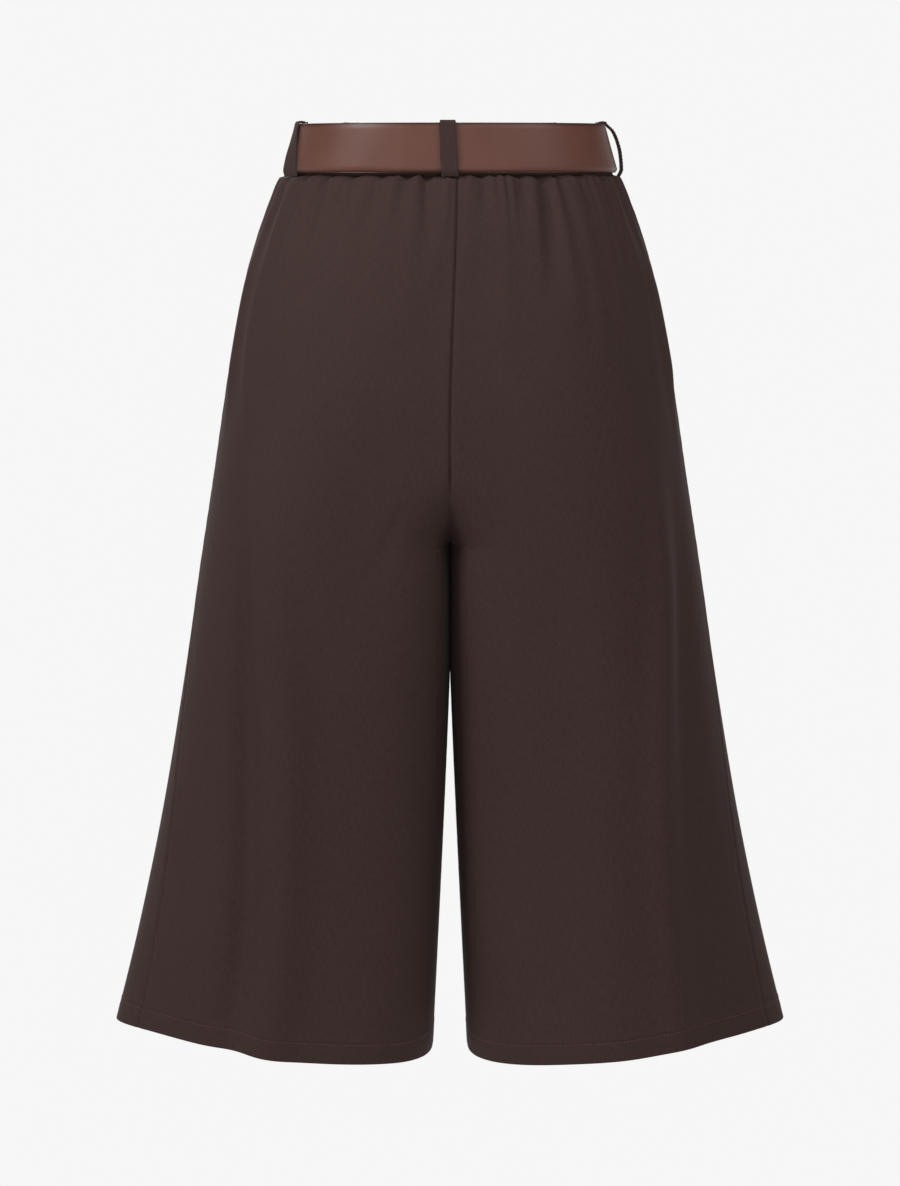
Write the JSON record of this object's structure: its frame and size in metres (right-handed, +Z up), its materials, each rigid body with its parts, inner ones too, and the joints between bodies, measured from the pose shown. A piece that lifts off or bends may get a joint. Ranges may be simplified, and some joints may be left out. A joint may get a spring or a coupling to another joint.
{
  "type": "bermuda shorts",
  "caption": "Wide-leg bermuda shorts filled out with no wearer: gathered elastic back waist, side-seam pockets and a leather belt in fabric loops.",
  "frame": {"origin": "on the garment's middle plane, half-way up the waistband; the waist ring's own centre is up to 2.6 mm to the wearer's right of it", "axes": "+Z up, the garment's front faces -Y, the wearer's left is +X"},
  "size_m": [0.5127, 0.2285, 0.7054],
  "materials": {
    "suiting": "fine dark brown suiting, matt with a faint sheen",
    "belt_leather": "smooth semi-matt mahogany leather",
    "buckle_metal": "satin aged brass"
  },
  "bodies": {
    "root": {"back_left": "suiting", "back_right": "suiting", "front_left": "suiting", "front_right": "suiting", "waistband_back": "suiting", "waistband_front": "suiting", "belt_loop_back": "suiting", "belt_loop_left_side": "suiting", "belt_loop_right_side": "suiting", "belt_loop_left_front": "suiting", "belt_loop_right_front": "suiting", "pocket_bag_left": "suiting", "pocket_bag_right": "suiting", "belt_strap": "belt_leather", "belt_keeper": "belt_leather", "buckle_frame": "buckle_metal", "buckle_prong": "buckle_metal"}
  },
  "joints": []
}
